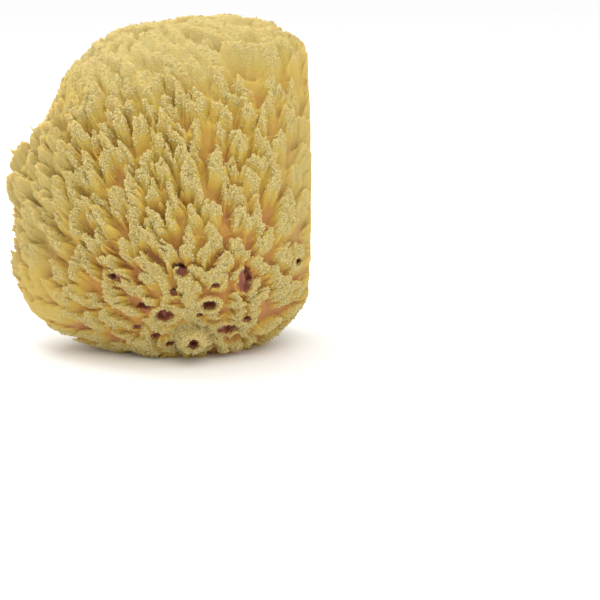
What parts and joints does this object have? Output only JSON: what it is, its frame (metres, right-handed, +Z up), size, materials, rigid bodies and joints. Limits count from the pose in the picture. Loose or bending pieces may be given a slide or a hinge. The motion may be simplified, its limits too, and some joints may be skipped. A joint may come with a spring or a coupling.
{
  "type": "sea sponge",
  "caption": "Natural bath sponge, a rounded mass of tufts, cut flat at its foot and trimmed flat on one side.",
  "frame": {"origin": "middle of the flat cut underneath, which the sponge rests on", "axes": "+Z up, out of the cut; +X to the right, towards the trimmed side; -Y towards the viewer"},
  "size_m": [0.1002, 0.0916, 0.1128],
  "materials": {
    "sponge_fibre": "matt, fibrous and slightly translucent: pale straw at the tuft tips, ochre to red-brown in the hollows"
  },
  "bodies": {
    "root": {"sponge": "sponge_fibre"}
  },
  "joints": []
}
